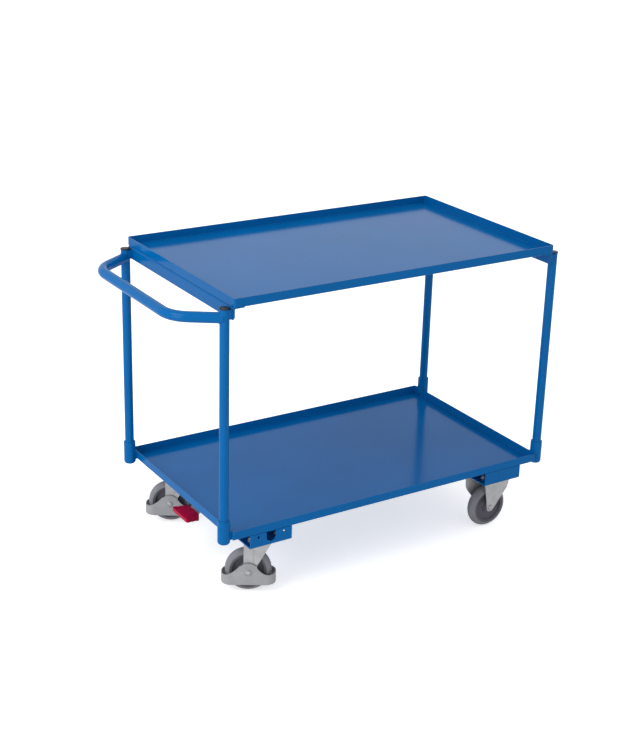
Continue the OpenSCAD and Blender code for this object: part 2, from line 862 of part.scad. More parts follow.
module tyre(sx, sy) {
    crown_r = wheel_w / 2;
    crown_at = wheel_d / 2 - crown_r;
    color(grey_rubber) placed() wheel_at(sx, sy)
        rotate_extrude()
            intersection() {
                union() {
                    translate([crown_at, 0]) circle(crown_r);
                    translate([0, -crown_r]) square([crown_at, wheel_w]);
                }
                translate([hub_r, -wheel_w]) square([wheel_d, 2 * wheel_w]);
            }
}

module hub(sx, sy) {
    web_lap = 2;
    color(hub_grey) placed() wheel_at(sx, sy)
        rotate_extrude() {
            translate([hub_r - hub_rim_t, -hub_rim_w / 2]) square([hub_rim_t, hub_rim_w]);
            translate([boss_d / 2 - web_lap, -web_t / 2]) square([hub_r - boss_d / 2, web_t]);
            translate([bearing_d / 2, -boss_l / 2]) square([(boss_d - bearing_d) / 2, boss_l]);
        }
}

module bearing(sx, sy) {
    color(dark_steel) placed() wheel_at(sx, sy)
        difference() {
            cylinder(d = bearing_d, h = boss_l, center = true);
            cylinder(r = axle_tube_d / 2 + run_fit, h = boss_l + 2 * cut, center = true);
        }
}

module bar_bushes() {
    flange_t = 2;
    flange_lip = 3;
    color(dark_steel) placed()
        for (s = [0, 1])
            mirror([0, s, 0])
                translate([-swivel_x, bush_y, bar_z])
                    rotate([-90, 0, 0])
                        difference() {
                            union() {
                                cylinder(d = bush_d, h = bush_l);
                                translate([0, 0, -flange_t])
                                    cylinder(r = bush_d / 2 + flange_lip, h = flange_t);
                            }
                            translate([0, 0, -bush_l]) cylinder(r = bar_d / 2 + run_fit, h = 3 * bush_l);
                        }
}

module brake_bar() {
    color(zinc) placed()
        translate([-swivel_x, 0, bar_z]) rotate([90, 0, 0]) cylinder(d = bar_d, h = bar_l, center = true);
}

module brake_cams() {
    color(zinc) placed()
        for (sy = [-1, 1])
            translate([-swivel_x, sy * castor_y, bar_z])
                along_y(cam_w)
                    difference() {
                        union() {
                            circle(cam_r);
                            translate([-cam_offset, 0]) circle(cam_r);
                            translate([-cam_offset, -cam_r]) square([cam_offset, 2 * cam_r]);
                        }
                        circle(d = bar_d);
                    }
}

// Flat arm: it runs level under the pedal and then rises to its hub on the bar
module brake_arm() {
    hub_wall = 6;
    hub_lip = 2.5;
    toe_gap = 4;
    bend_gap = 2;
    pad_low = -pedal_drop - pedal_t;
    foot_x = pedal_depth - pedal_reach + bend_gap;
    rise = atan2(-pad_low - arm_t / 2, -foot_x);
    slope_l = norm([foot_x, pad_low]);
    color(zinc) placed()
        translate([-swivel_x, 0, bar_z])
            difference() {
                union() {
                    along_y(arm_w + 2 * hub_lip) circle(r = bar_d / 2 + hub_wall);
                    along_y(arm_w) {
                        translate([toe_gap - pedal_reach, pad_low - arm_t])
                            square([foot_x + pedal_reach - toe_gap + arm_t / 3, arm_t]);
                        translate([foot_x, pad_low - arm_t / 2])
                            rotate(rise) translate([0, -arm_t / 2]) square([slope_l - bar_d / 3, arm_t]);
                        translate([foot_x, pad_low - arm_t / 2]) circle(d = arm_t);
                    }
                }
                rotate([90, 0, 0]) cylinder(d = bar_d, h = 3 * arm_w, center = true);
            }
}

// Pedal seen from above: wide outside, narrow inside, with finger hollows at its sides
module pedal_outline() {
    r = pedal_r;
    run = pedal_depth - 2 * r;
    half_out = pedal_outer_w / 2 - r;
    half_in = pedal_inner_w / 2 - r;
    taper = atan2(half_out - half_in, run);
    hollow_r = 8;
    hollow_depth = 1.5;
    difference() {
        polygon(concat(
            arc([0, half_out], r, 180, 90 - taper, 6),
            arc([run, half_in], r, 90 - taper, 0, 6),
            arc([run, -half_in], r, 0, taper - 90, 6),
            arc([0, -half_out], r, taper - 90, -180, 6)
        ));
        for (s = [-1, 1], i = [1, 2])
            translate([
                run * i / 3 + (r + hollow_r - hollow_depth) * sin(taper),
                s * (half_out + (half_in - half_out) * i / 3 + (r + hollow_r - hollow_depth) * cos(taper))
            ]) circle(hollow_r);
    }
}

module brake_pedal() {
    deep = pedal_t + pedal_skirt;
    slot_gap = 1;
    outer_end = -pedal_r;
    inner_end = pedal_depth - pedal_r;
    slot_w = arm_w + 2 * slot_gap;
    color(pedal_red) placed()
        translate([pedal_r - swivel_x - pedal_reach, 0, bar_z - pedal_drop - deep])
            difference() {
                linear_extrude(deep) pedal_outline();
                along_y(2 * pedal_outer_w) polygon([
                    [outer_end - cut, -cut], [inner_end, -cut], [inner_end, 0], [outer_end, pedal_skirt],
                    [outer_end - cut, pedal_skirt]
                ]);
                translate([outer_end - cut, -slot_w / 2, -cut])
                    cube([pedal_depth + 2 * cut, slot_w, pedal_skirt + cut]);
            }
}

// Brake shoe with its plunger through the king pin and the head under the cam
module brake_shoe(sy) {
    low = axle_z + wheel_d / 4;
    color(dark_steel) placed() at_swivel(sy) {
        difference() {
            translate([trail - shoe_l / 2, -shoe_w / 2, low]) cube([shoe_l, shoe_w, shoe_top - low]);
            translate([0, 0, axle_z]) rotate([90, 0, 0])
                cylinder(r = wheel_d / 2 + shoe_gap, h = 2 * shoe_w, center = true);
        }
        translate([trail, 0, shoe_top - cut])
            cylinder(r = king_bore / 2 - run_fit, h = plunger_top - shoe_top + cut);
        translate([trail, 0, plunger_top - plunger_head_t]) cylinder(r = plunger_head_r, h = plunger_head_t);
    }
}

top_tray();
bottom_tray();
end_rail(-1);  // end_rail_left
end_rail(1);  // end_rail_right
upright(-1, -1);  // upright_front_left
upright(-1, 1);  // upright_rear_left
upright(1, -1);  // upright_front_right
upright(1, 1);  // upright_rear_right
socket(-1, -1);  // socket_front_left
socket(-1, 1);  // socket_rear_left
socket(1, -1);  // socket_front_right
socket(1, 1);  // socket_rear_right
tube_caps();
push_handle();
tray_nuts();
bracket(-bracket_left_x, -swivel_x, -1, true);  // bracket_front_left
bracket(-bracket_left_x, -swivel_x, 1, true);  // bracket_rear_left
bracket(bracket_right_x, fixed_x, -1, false);  // bracket_front_right
bracket(bracket_right_x, fixed_x, 1, false);  // bracket_rear_right
swivel_plate(-1);  // swivel_plate_front
swivel_plate(1);  // swivel_plate_rear
king_pins();
fixed_fork(-1);  // fixed_fork_front
fixed_fork(1);  // fixed_fork_rear
castor_bolts();
castor_nuts();
fixed_axle_bolts();
fixed_axle_nuts();
fixed_axle_tubes();
bar_bushes();
brake_bar();
brake_arm();
brake_pedal();
brake_cams();
swivel_fork(-1);  // swivel_fork_front
ball_race(-1);  // ball_race_front
foot_guard(-1);  // foot_guard_front
axle_bolt(-1);  // axle_bolt_front
axle_nut(-1);  // axle_nut_front
swivel_axle_tube(-1);  // axle_tube_front
brake_shoe(-1);  // brake_shoe_front
swivel_fork(1);  // swivel_fork_rear
ball_race(1);  // ball_race_rear
foot_guard(1);  // foot_guard_rear
axle_bolt(1);  // axle_bolt_rear
axle_nut(1);  // axle_nut_rear
swivel_axle_tube(1);  // axle_tube_rear
brake_shoe(1);  // brake_shoe_rear
tyre(-1, -1);  // tyre_front_left
hub(-1, -1);  // hub_front_left
bearing(-1, -1);  // bearing_front_left
tyre(-1, 1);  // tyre_rear_left
hub(-1, 1);  // hub_rear_left
bearing(-1, 1);  // bearing_rear_left
tyre(1, -1);  // tyre_front_right
hub(1, -1);  // hub_front_right
bearing(1, -1);  // bearing_front_right
tyre(1, 1);  // tyre_rear_right
hub(1, 1);  // hub_rear_right
bearing(1, 1);  // bearing_rear_right
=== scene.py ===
"""Looks of the two-tier utility cart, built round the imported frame. Metres, +Z up.

The camera, the materials and the light come first. The pieces after them are the small things that
the solids leave out: washers, thread ends, moulded rings, seals, ribs and weld beads.
"""
import json
import math

import bmesh
import bpy
from mathutils import Matrix, Vector

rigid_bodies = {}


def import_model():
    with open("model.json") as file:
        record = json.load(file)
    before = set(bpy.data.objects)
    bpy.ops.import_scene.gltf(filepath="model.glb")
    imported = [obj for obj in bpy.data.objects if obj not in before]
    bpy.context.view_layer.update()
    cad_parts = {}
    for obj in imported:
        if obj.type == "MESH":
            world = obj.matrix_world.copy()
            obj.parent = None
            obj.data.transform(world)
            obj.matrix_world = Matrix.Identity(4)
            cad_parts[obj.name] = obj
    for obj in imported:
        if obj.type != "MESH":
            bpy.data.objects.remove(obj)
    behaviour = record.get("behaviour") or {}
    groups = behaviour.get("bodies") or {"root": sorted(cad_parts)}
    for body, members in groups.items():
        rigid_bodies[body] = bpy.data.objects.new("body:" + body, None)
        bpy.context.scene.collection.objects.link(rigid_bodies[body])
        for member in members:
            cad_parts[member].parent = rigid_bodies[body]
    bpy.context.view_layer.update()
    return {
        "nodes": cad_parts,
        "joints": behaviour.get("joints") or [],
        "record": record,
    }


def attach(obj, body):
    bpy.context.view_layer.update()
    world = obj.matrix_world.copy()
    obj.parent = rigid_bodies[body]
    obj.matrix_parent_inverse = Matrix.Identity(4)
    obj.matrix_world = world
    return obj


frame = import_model()
nodes = frame["nodes"]
joints = {j["name"]: j for j in frame["joints"]}
scene = bpy.context.scene

TAU = 2 * math.pi
UP = Vector((0, 0, 1))
WHITE = (1.0, 1.0, 1.0, 1.0)
BOTH = (-1, 1)
ROWS = (("front", -1), ("rear", 1))
CORNERS = ("front_left", "rear_left", "front_right", "rear_right")

# ---------------------------------------------------------------- camera
# Fitted to the photograph: azimuth, elevation and roll in radians, distance in metres
AZ, EL, ROLL, DIST = 0.57115917, 0.370534272, 0.0292184582, 4.054788
FOCAL_PX, IMAGE_H = 1448.959, 732
TARGET = Vector((-0.005339, 0.0, 0.501169))

forward = Vector((math.sin(AZ) * math.cos(EL), math.cos(AZ) * math.cos(EL), -math.sin(EL)))
level = Vector((math.cos(AZ), -math.sin(AZ), 0.0))
upward = level.cross(forward)
right = level * math.cos(ROLL) + upward * math.sin(ROLL)
up = upward * math.cos(ROLL) - level * math.sin(ROLL)

cam_data = bpy.data.cameras.new("camera")
# The picture is taller than wide, so its height takes the sensor's width
cam_data.sensor_fit = "AUTO"
cam_data.lens = FOCAL_PX * cam_data.sensor_width / IMAGE_H
cam_data.clip_start = 0.05
cam_data.clip_end = 200.0
camera = bpy.data.objects.new("camera", cam_data)
scene.collection.objects.link(camera)
turn = Matrix((right, up, -forward)).transposed().to_4x4()
camera.matrix_world = Matrix.Translation(TARGET - forward * DIST) @ turn
scene.camera = camera
scene.view_settings.view_transform = "Standard"


# ---------------------------------------------------------------- shader nodes
def add(tree, kind, inputs=None, **props):
    """Adds a node; inputs are values or sockets to link."""
    n = tree.nodes.new(kind)
    for k, v in props.items():
        setattr(n, k, v)
    for k, v in (inputs or {}).items():
        if isinstance(v, bpy.types.NodeSocket):
            tree.links.new(v, n.inputs[k])
        else:
            n.inputs[k].default_value = v
    return n


def srgb(r, g, b):
    """Linear RGBA of a colour given in 0 to 255."""
    def lin(c):
        c /= 255
        return c / 12.92 if c <= 0.04045 else ((c + 0.055) / 1.055) ** 2.4
    return (lin(r), lin(g), lin(b), 1.0)


def scaled(c, k):
    """A colour times a number."""
    return (min(c[0] * k, 1.0), min(c[1] * k, 1.0), min(c[2] * k, 1.0), 1.0)


def noise(tree, at, scale, detail=2.0, rough=0.5):
    inputs = {"Vector": at, "Scale": scale, "Detail": detail, "Roughness": rough}
    return add(tree, "ShaderNodeTexNoise", inputs).outputs["Fac"]


def ramp(tree, fac, low, high):
    """0 below low, 1 above high, smooth between them."""
    inputs = {"Value": fac, "From Min": low, "From Max": high}
    n = add(tree, "ShaderNodeMapRange", inputs, interpolation_type="SMOOTHSTEP")
    return n.outputs["Result"]


def mix(tree, fac, a, b):
    """Colour a where fac is 0 and colour b where it is 1."""
    colour_a, colour_b, result = 6, 7, 2  # Sockets of the colour mode, which share their names
    return add(tree, "ShaderNodeMix", {0: fac, colour_a: a, colour_b: b},
               data_type="RGBA").outputs[result]


def times(tree, a, k):
    return add(tree, "ShaderNodeMath", {0: a, 1: k}, operation="MULTIPLY").outputs[0]


def plus(tree, a, b):
    return add(tree, "ShaderNodeMath", {0: a, 1: b}, operation="ADD").outputs[0]


def stretch(tree, at, scale):
    return add(tree, "ShaderNodeMapping", {"Vector": at, "Scale": scale}).outputs["Vector"]


# ---------------------------------------------------------------- material parts
def surface(name, round_r):
    """A new material with its shader, the object coordinates, normals rounded at the edges, and
    a value that goes from 0 on a face to 1 on an edge."""
    mat = bpy.data.materials.new(name)
    mat.use_nodes = True
    tree = mat.node_tree
    tree.nodes.clear()
    out = add(tree, "ShaderNodeOutputMaterial")
    shader = add(tree, "ShaderNodeBsdfPrincipled")
    tree.links.new(shader.outputs[0], out.inputs[0])
    at = add(tree, "ShaderNodeTexCoord").outputs["Object"]
    soft = add(tree, "ShaderNodeBevel", {"Radius": round_r}, samples=4).outputs[0]
    flat = add(tree, "ShaderNodeNewGeometry").outputs["Normal"]
    dot = add(tree, "ShaderNodeVectorMath", {0: soft, 1: flat}, operation="DOT_PRODUCT")
    edge = add(tree, "ShaderNodeMapRange",
               {"Value": dot.outputs["Value"], "From Min": 0.985, "From Max": 0.80})
    return mat, tree, shader, at, soft, edge.outputs["Result"]


def clouded(tree, at, colour, low, high, scale, detail, rough=0.5):
    """A colour that drifts between two shades of itself."""
    drift = ramp(tree, noise(tree, at, scale, detail, rough), 0.3, 0.7)
    return mix(tree, drift, scaled(colour, low), scaled(colour, high))


def laid_over(tree, under, mask, share, colour):
    """A colour laid over another, as dense as the mask times a share."""
    return mix(tree, times(tree, mask, share), under, colour)


def dress(tree, shader, colour, rough, **more):
    """Links the colour and sets the plain values; an underscore in a name stands for a space."""
    tree.links.new(colour, shader.inputs["Base Color"])
    shader.inputs["Roughness"].default_value = rough
    for k, v in more.items():
        shader.inputs[k.replace("_", " ")].default_value = v


def bump(tree, shader, soft, height, strength, distance):
    inputs = {"Height": height, "Strength": strength, "Distance": distance, "Normal": soft}
    tree.links.new(add(tree, "ShaderNodeBump", inputs).outputs[0], shader.inputs["Normal"])


# ---------------------------------------------------------------- materials
def powder_coat(name, colour):
    """Powder coated steel: orange peel, faint clouding, and a painted highlight along the edges."""
    mat, tree, shader, at, soft, edge = surface(name, 0.0011)
    cloud = clouded(tree, at, colour, 0.96, 1.04, scale=5.0, detail=4.0)
    sparkle = ramp(tree, noise(tree, at, 1400.0), 0.60, 0.75)
    speck = laid_over(tree, cloud, sparkle, 0.08, scaled(colour, 1.7))
    dusty = ramp(tree, noise(tree, at, 38.0, 6.0, 0.7), 0.60, 0.80)
    dust = laid_over(tree, speck, dusty, 0.03, srgb(120, 150, 180))
    # Painted highlight: the edges are lightened towards a pale blue, standing for the light their
    # rounding catches
    edge_highlight = laid_over(tree, dust, edge, 0.35, srgb(40, 130, 200))
    dress(tree, shader, edge_highlight, 0.15, Specular_IOR_Level=0.10)
    peel = plus(tree, noise(tree, at, 650.0, 1.0), times(tree, noise(tree, at, 180.0, 1.0), 0.8))
    bump(tree, shader, soft, peel, 0.22, 0.00011)
    return mat


def zinc_plate(name, colour, rough=0.42, metal=0.8):
    """Zinc plated pressed steel: fine drawing lines, cloudy patches, and a painted highlight on the
    edges.
    """
    mat, tree, shader, at, soft, edge = surface(name, 0.0008)
    cloud = clouded(tree, at, colour, 0.90, 1.05, scale=45.0, detail=5.0, rough=0.6)
    lines = noise(tree, stretch(tree, at, (900.0, 900.0, 60.0)), 1.0, 3.0, 0.6)
    drawn = laid_over(tree, cloud, ramp(tree, lines, 0.35, 0.7), 0.12, scaled(colour, 0.72))
    # Painted highlight: the edges are lightened, standing for the light they catch
    edge_highlight = laid_over(tree, drawn, edge, 0.5, scaled(colour, 1.25))
    dress(tree, shader, edge_highlight, rough, Metallic=metal)
    bump(tree, shader, soft, lines, 0.2, 0.0001)
    return mat


def moulded(name, colour, rough, edge_highlight_gain, mottle=0.05, shine=0.35):
    """Moulded plastic: fine spark grain, faint flow clouds, and a painted highlight that lightens
    the edges.
    """
    grain = 900.0
    mat, tree, shader, at, soft, edge = surface(name, 0.0009)
    cloud = clouded(tree, at, colour, 1 - mottle, 1 + mottle, scale=28.0, detail=4.0)
    pits = ramp(tree, noise(tree, at, grain), 0.55, 0.75)
    speck = laid_over(tree, cloud, pits, 0.15, scaled(colour, 0.75))
    # Painted highlight: the edges are lightened by the highlight gain, standing for the light they
    # catch
    edge_highlight = laid_over(tree, speck, edge, 0.6, scaled(colour, edge_highlight_gain))
    dress(tree, shader, edge_highlight, rough, Specular_IOR_Level=shine)
    bump(tree, shader, soft, noise(tree, at, grain), 0.35, 0.00012)
    return mat


def rubber(name, colour):
    """Grey elastic tyre: matte, scuffed in streaks, a little dust in the fine pores, and a painted
    highlight on the edges.
    """
    mat, tree, shader, at, soft, edge = surface(name, 0.0009)
    cloud = clouded(tree, at, colour, 0.90, 1.06, scale=40.0, detail=5.0, rough=0.65)
    streaks = noise(tree, stretch(tree, at, (260.0, 260.0, 900.0)), 1.0, 4.0, 0.7)
    scuff = ramp(tree, streaks, 0.55, 0.8)
    worn = laid_over(tree, cloud, scuff, 0.25, scaled(colour, 0.68))
    dusty = ramp(tree, noise(tree, at, 1600.0), 0.58, 0.72)
    pores = laid_over(tree, worn, dusty, 0.22, scaled(colour, 1.35))
    # Painted highlight: the edges are lightened, standing for the light they catch
    edge_highlight = laid_over(tree, pores, edge, 0.25, scaled(colour, 1.2))
    dress(tree, shader, edge_highlight, 0.72, Specular_IOR_Level=0.30)
    relief = plus(tree, noise(tree, at, 1100.0, 3.0), times(tree, scuff, 0.6))
    bump(tree, shader, soft, relief, 0.35, 0.0002)
    return mat


mats = {
    "blue_paint": powder_coat("powder_coat_blue", srgb(0, 95, 161)),
    "zinc_steel": zinc_plate("zinc_plated_steel", srgb(191, 191, 192)),
    "dark_steel": zinc_plate("bearing_steel", srgb(120, 120, 124), 0.38, 0.9),
    "guard_plastic": moulded("guard_plastic_grey", srgb(156, 156, 159), 0.50, 1.12),
    "tyre_rubber": rubber("tyre_grey", srgb(130, 130, 136)),
    "hub_plastic": moulded("hub_plastic_grey", srgb(94, 92, 102), 0.45, 1.35),
    "cap_plastic": moulded("cap_plastic_black", srgb(26, 36, 42), 0.38, 1.6),
    "pedal_plastic": moulded("pedal_plastic_red", srgb(170, 4, 56), 0.36, 1.05,
                             mottle=0.04, shine=0.12),
}

for part in frame["record"]["subparts"]:
    data = nodes[part["node"]].data
    data.materials.clear()
    data.materials.append(mats[part["material_slot"]])

# ---------------------------------------------------------------- floor and light
FLOOR_HALF, FLOOR_Z = 60.0, -0.0004
FLOOR_GREY = (0.90, 0.90, 0.90, 1.0)
FLOOR_GLOW = 0.55  # Added for the camera alone, so that the floor looks white
WORLD = 0.79  # What lights the cart; the camera and the reflections see 1

floor_mesh = bpy.data.meshes.new("floor")
floor_corners = [(x * FLOOR_HALF, y * FLOOR_HALF, FLOOR_Z)
                 for x, y in ((-1, -1), (1, -1), (1, 1), (-1, 1))]
floor_mesh.from_pydata(floor_corners, [], [(0, 1, 2, 3)])
floor = bpy.data.objects.new("floor", floor_mesh)
scene.collection.objects.link(floor)


def seen_white(tree, camera_part, mirror_part):
    """Strength added where the camera, a reflection or glass sees the surface."""
    rays = add(tree, "ShaderNodeLightPath").outputs
    mirrored = plus(tree, rays["Is Glossy Ray"], rays["Is Transmission Ray"])
    return plus(tree, times(tree, rays["Is Camera Ray"], camera_part),
                times(tree, mirrored, mirror_part))


floor_mat = bpy.data.materials.new("floor_pale")
floor_mat.use_nodes = True
ft = floor_mat.node_tree
ft.nodes.clear()
matte = add(ft, "ShaderNodeBsdfDiffuse", {"Color": FLOOR_GREY})
glow = add(ft, "ShaderNodeEmission", {"Color": WHITE, "Strength": seen_white(ft, FLOOR_GLOW, 0.0)})
both = add(ft, "ShaderNodeAddShader", {0: matte.outputs[0], 1: glow.outputs[0]})
add(ft, "ShaderNodeOutputMaterial", {0: both.outputs[0]})
floor_mesh.materials.append(floor_mat)

world = bpy.data.worlds.new("studio")
scene.world = world
world.use_nodes = True
wt = world.node_tree
wt.nodes.clear()
strength = plus(wt, seen_white(wt, 1.0 - WORLD, 1.0 - WORLD), WORLD)
sky = add(wt, "ShaderNodeBackground", {"Color": WHITE, "Strength": strength})
add(wt, "ShaderNodeOutputWorld", {0: sky.outputs[0]})


def lamp(name, at, aim, size, power):
    """A rectangular lamp at a point, turned to another."""
    lamp_data = bpy.data.lights.new(name, "AREA")
    lamp_data.shape = "RECTANGLE"
    lamp_data.size, lamp_data.size_y = size
    lamp_data.energy = power
    obj = bpy.data.objects.new(name, lamp_data)
    scene.collection.objects.link(obj)
    obj.location = at
    obj.rotation_euler = (Vector(aim) - Vector(at)).to_track_quat("-Z", "Y").to_euler()


lamp("key", (-3.3, -0.7, 3.2), (0.0, 0.0, 0.5), (2.2, 2.2), 62.0)
lamp("low_left", (-4.0, -1.3, 0.9), (0.0, 0.0, 0.3), (2.0, 1.2), 30.0)


# ---------------------------------------------------------------- mesh helpers
def piece(name, meshes, body, slot):
    """One object from several (verts, faces), riding on a body and finished as a slot."""
    verts, faces = [], []
    for v, f in meshes:
        base = len(verts)
        verts += v
        faces += [tuple(i + base for i in q) for q in f]
    mesh = bpy.data.meshes.new(name)
    mesh.from_pydata([tuple(v) for v in verts], [], faces)
    bm = bmesh.new()
    bm.from_mesh(mesh)
    bmesh.ops.remove_doubles(bm, verts=bm.verts, dist=1e-7)
    bmesh.ops.recalc_face_normals(bm, faces=bm.faces)
    bm.to_mesh(mesh)
    bm.free()
    mesh.shade_smooth()
    mesh.set_sharp_from_angle(angle=math.radians(40))
    obj = bpy.data.objects.new(name, mesh)
    scene.collection.objects.link(obj)
    mesh.materials.append(mats[slot])
    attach(obj, body)


def bead(path, normals, r, ripple=0.16, closed=False, sides=8):
    """A bead along a path, rippled as a weld; normals point out of the seam."""
    pitch, height = 0.0024, 0.85
    end_first, end_step = 0.45, 0.3
    verts, faces = [], []
    n = len(path)
    travelled = 0.0
    for i, p in enumerate(path):
        before = path[i - 1] if i or closed else path[0]
        after = path[(i + 1) % n] if i + 1 < n or closed else path[-1]
        along = (after - before).normalized()
        if i:
            travelled += (p - path[i - 1]).length
        out = (normals[i] - along * normals[i].dot(along)).normalized()
        side = along.cross(out)
        end = 1.0 if closed else min(1.0, end_first + end_step * min(i, n - 1 - i))
        k = end * (1 + ripple * math.cos(TAU * travelled / pitch))
        for j in range(sides):
            t = TAU * j / sides
            verts.append(p + (out * math.cos(t) * height + side * math.sin(t)) * r * k)
    for i in range(n if closed else n - 1):
        for j in range(sides):
            a, b = i * sides, ((i + 1) % n) * sides
            faces.append((a + j, a + (j + 1) % sides, b + (j + 1) % sides, b + j))
    if not closed:
        faces.append(tuple(range(sides)))
        faces.append(tuple(range((n - 1) * sides, n * sides)))
    return verts, faces


def line(a, b, step=0.0008):
    """Points from a to b, a step apart."""
    n = max(int((b - a).length / step), 3)
    return [a.lerp(b, i / n) for i in range(n + 1)]


def lathe(profile, matrix, sides=96):
    """Turns a closed profile of (radius, height) about the matrix's Z axis."""
    verts, faces = [], []
    n = len(profile)
    for i in range(sides):
        t = TAU * i / sides
        verts += [matrix @ Vector((r * math.cos(t), r * math.sin(t), z)) for r, z in profile]
    for i in range(sides):
        a, b = i * n, ((i + 1) % sides) * n
        for j in range(n):
            k = (j + 1) % n
            if profile[j][0] > 0 or profile[k][0] > 0:
                faces.append((a + j, a + k, b + k, b + j))
    return verts, faces


def on_side(profile, s):
    """A profile on one side of its own middle plane, or on the other."""
    return [(r, s * z) for r, z in profile]


def ring(r_in, r_out, z0, z1, edge=0.0003):
    """Profile of a flat ring with chamfered outer edges."""
    z0, z1 = sorted((z0, z1))
    return [(r_in, z0), (r_out - edge, z0), (r_out, z0 + edge),
            (r_out, z1 - edge), (r_out - edge, z1), (r_in, z1)]


def cord_ring(r, z, small):
    """Profile of a thin round ring."""
    steps = 8
    turns = [TAU * i / steps for i in range(steps)]
    return [(r + small * math.cos(t), z + small * math.sin(t)) for t in turns]


def dome(r, z, h):
    """Profile of a low dome that stands on a face."""
    return [(0.0, z), (r, z), (r * 0.97, z + h * 0.45), (r * 0.80, z + h * 0.80),
            (r * 0.45, z + h * 0.97), (0.0, z + h)]


def thread(r, z0, z1):
    """Profile of thread ridges round a shank."""
    pitch, deep, sunk = 0.00125, 0.0003, 0.0001
    rounds = int(round((z1 - z0) / pitch))
    points = [(r - deep, z0)]
    for i in range(rounds):
        points += [(r - sunk, z0 + pitch * i), (r + deep, z0 + pitch * (i + 0.5))]
    return points + [(r - sunk, z0 + pitch * rounds), (r - deep, z0 + pitch * rounds)]


def pointing(pos, axis):
    """Matrix at a point whose Z axis points along an axis."""
    turned = Vector(axis).to_track_quat("Z", "Y").to_matrix().to_4x4()
    return Matrix.Translation(Vector(pos)) @ turned


# ---------------------------------------------------------------- sizes of the part
MIDDLE_X = 0.0535  # The trays' middle in the shared frame
UPRIGHT_X, UPRIGHT_Y, TUBE_R = 0.5165, 0.280, 0.0125
HANDLE_Z, HANDLE_R, HANDLE_ANGLE = 0.806, 0.014, math.radians(33)
SOCKET_TOP, CAP_TOP, CAP_R = 0.259, 0.832, 0.0115
SWIVEL_X, FIXED_X, CASTOR_Y = -0.386, 0.385, 0.230
PLATE_Z, BRACKET_FLOOR, TRAY_Z = 0.1615, 0.169, 0.205
HOLE_X, HOLE_Y = 0.040, 0.030
STUD_X, STUD_Y, RAIL_UNDER = 0.483, 0.220, 0.8300
STUD_THREAD_Z = (0.8210, 0.8235)
NUT_H, HEAD_H, HEAD_R, BOLT_R = 0.0065, 0.0053, 0.0056, 0.004
FORK_OUT, GUARD_OUT = 0.0225, 0.0265
TYRE_CROWN_R, TYRE_CROWN_AT = 0.016, 0.0465
HUB_WEB, HUB_FACE = 0.0038, 0.0133

# Sizes of the pieces themselves
WASHER_IN, WASHER_OUT, WASHER_T = 0.0042, 0.0083, 0.0012
THREAD_L = 0.0025
HEAD_DOME_H = 0.0004


def at_cart(x, y, z):
    """A point given from the trays' middle."""
    return Vector((x + MIDDLE_X, y, z))


def head_dome(m, sides):
    """The low dome on a bolt's head, whose outer face lies at the matrix and looks along -Z."""
    return lathe(dome(HEAD_R, 0.0, HEAD_DOME_H), m @ Matrix.Rotation(math.pi, 4, "X"), sides)


# ---------------------------------------------------------------- wheels
TYRE_RING_RS = (0.0520, 0.0562)
TYRE_RING_SMALL, TYRE_RING_SUNK = 0.0006, 0.00015
BOSS_FOOT = ((0.0165, HUB_WEB), (0.0225, HUB_WEB), (0.0205, 0.0044), (0.0188, 0.0058),
             (0.0176, 0.0085), (0.0165, 0.0085))
RIM_FOOT = ((0.0440, HUB_WEB), (0.0440, 0.0085), (0.0429, 0.0085), (0.0417, 0.0058),
            (0.0400, 0.0044), (0.0380, HUB_WEB))
SEAL = ((0.0066, 0.0178), (0.0116, 0.0178), (0.0112, 0.0184), (0.0096, 0.0184),
        (0.0090, 0.0181), (0.0084, 0.0186), (0.0066, 0.0186))

for corner in CORNERS:
    wheel = joints[corner + "_wheel"]
    m = pointing(wheel["pos_m"], wheel["axis"])
    body = "wheel_" + corner
    rings = []
    for s in BOTH:
        for r in TYRE_RING_RS:
            side = math.sqrt(TYRE_CROWN_R ** 2 - (r - TYRE_CROWN_AT) ** 2)
            rings.append(lathe(cord_ring(r, s * (side - TYRE_RING_SUNK), TYRE_RING_SMALL), m, 128))
    piece("tyre_rings_" + corner, rings, body, "tyre_rubber")
    trim = []
    for s in BOTH:
        trim.append(lathe(on_side(BOSS_FOOT, s), m))
        trim.append(lathe(on_side(RIM_FOOT, s), m))
        trim.append(lathe(ring(0.0285, 0.0300, s * HUB_WEB, s * 0.0047, 0.0004), m))
        trim.append(lathe(ring(0.0457, 0.0477, s * HUB_FACE, s * 0.0141), m))
    piece("hub_trim_" + corner, trim, body, "hub_plastic")
    seals = [lathe(on_side(SEAL, s), m) for s in BOTH]
    piece("bearing_seals_" + corner, seals, body, "dark_steel")

# ---------------------------------------------------------------- axle bolts
for corner in CORNERS:
    wheel = joints[corner + "_wheel"]
    m = pointing(wheel["pos_m"], wheel["axis"])
    out = GUARD_OUT if corner.endswith("left") else FORK_OUT
    nut_top = out + NUT_H
    hardware = [
        lathe(ring(WASHER_IN, WASHER_OUT, -out, -out - WASHER_T), m, 64),
        lathe(ring(WASHER_IN, WASHER_OUT, out, out + WASHER_T), m, 64),
        head_dome(m @ Matrix.Translation((0, 0, -out - HEAD_H)), 48),
        lathe(thread(BOLT_R, nut_top, nut_top + THREAD_L), m, 48),
    ]
    piece("axle_washers_" + corner, hardware, wheel["parent"], "zinc_steel")

